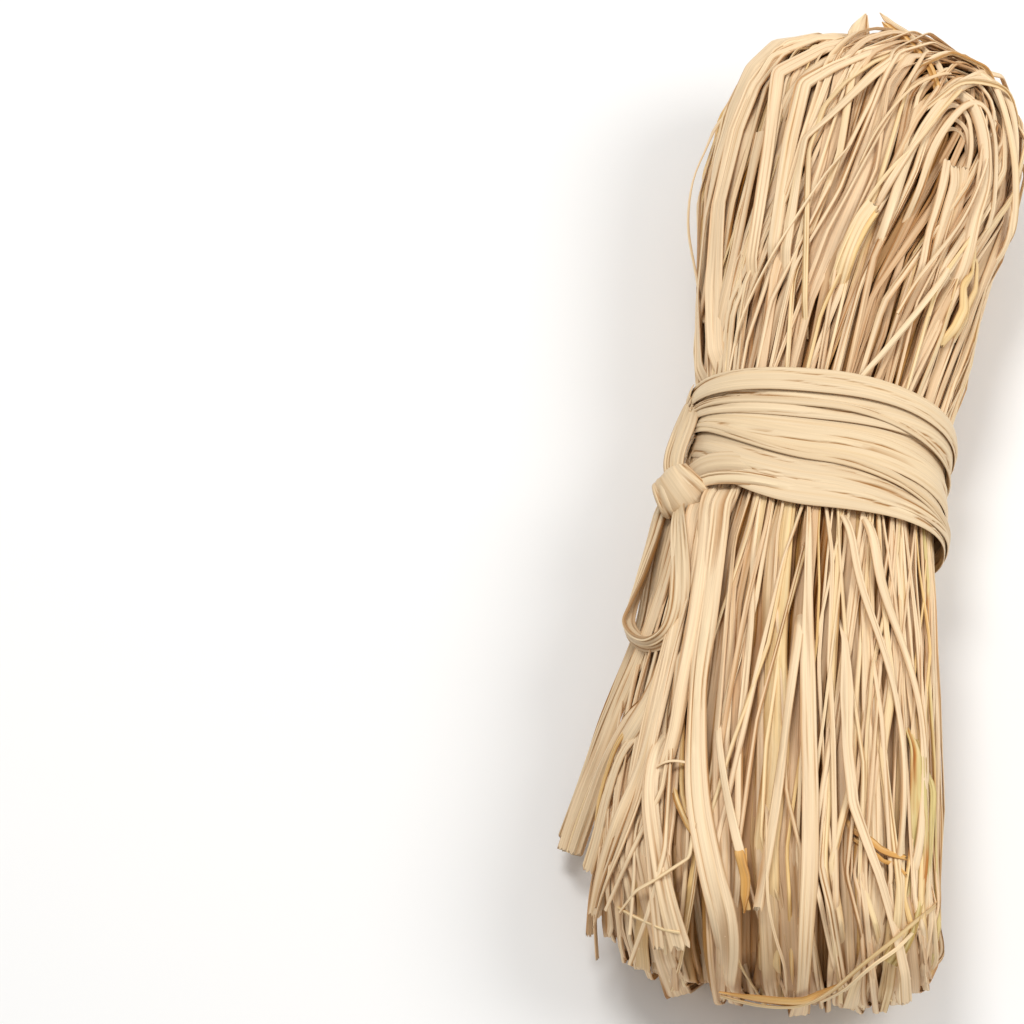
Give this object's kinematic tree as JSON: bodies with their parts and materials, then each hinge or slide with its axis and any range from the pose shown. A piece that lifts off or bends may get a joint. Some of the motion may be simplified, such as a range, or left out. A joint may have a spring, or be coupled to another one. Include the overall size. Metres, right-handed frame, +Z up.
{
  "type": "raffia bundle",
  "caption": "Hank of natural raffia leaf strands, folded over at both ends, tied round its waist with raffia strips and a knot, with a bow loop and a tuft of cut ends, lying down.",
  "frame": {"origin": "middle of the whole bundle's outline, on the surface that it lies on", "axes": "+Y along the hank from its lower fold to its upper fold, +X across it away from the knot, +Z up"},
  "size_m": [0.1056, 0.2924, 0.0592],
  "materials": {
    "straw": "dry raffia leaf, matte with a faint sheen",
    "pale_straw": "pale dry raffia leaf, matte with a faint sheen",
    "ochre_straw": "browned dry raffia leaf, matte",
    "greenish_straw": "yellowish green raffia leaf, matte",
    "tie_straw": "smooth pale raffia leaf, matte with a faint sheen"
  },
  "bodies": {
    "root": {"arch_strand_inner": "straw", "arch_strand_outer": "pale_straw", "bent_tip_strand": "pale_straw", "bottom_ochre_strand": "ochre_straw", "bow_loop": "tie_straw", "bright_strand_inner": "pale_straw", "bright_strand_outer": "pale_straw", "broad_strip_front": "pale_straw", "broad_strip_left": "pale_straw", "crossing_strand_bottom": "straw", "crossing_strand_top": "pale_straw", "crumpled_flap_top": "ochre_straw", "cut_end_flared": "pale_straw", "cut_end_front_inner": "straw", "cut_end_front_outer": "straw", "cut_end_long": "pale_straw", "cut_end_low": "straw", "cut_end_split": "straw", "cut_end_under": "straw", "fine_strand_long": "pale_straw", "fine_strand_short": "straw", "folded_strip_bottom": "straw", "hank_lower": "straw", "hank_upper": "straw", "kinked_strip_inner": "straw", "kinked_strip_outer": "pale_straw", "knot": "tie_straw", "ochre_end": "ochre_straw", "riser": "tie_straw", "slack_strand_left": "pale_straw", "tail_inner": "straw", "tail_outer": "pale_straw", "tie_strip_1": "tie_straw", "tie_strip_2": "tie_straw", "tie_strip_3": "tie_straw", "tie_strip_4": "tie_straw", "tie_strip_5": "tie_straw", "tie_strip_6": "tie_straw", "tie_strip_7": "tie_straw", "top_spike_ochre": "ochre_straw", "top_spike_pale": "pale_straw", "torn_flap": "ochre_straw", "yellow_strip": "greenish_straw"}
  },
  "joints": []
}
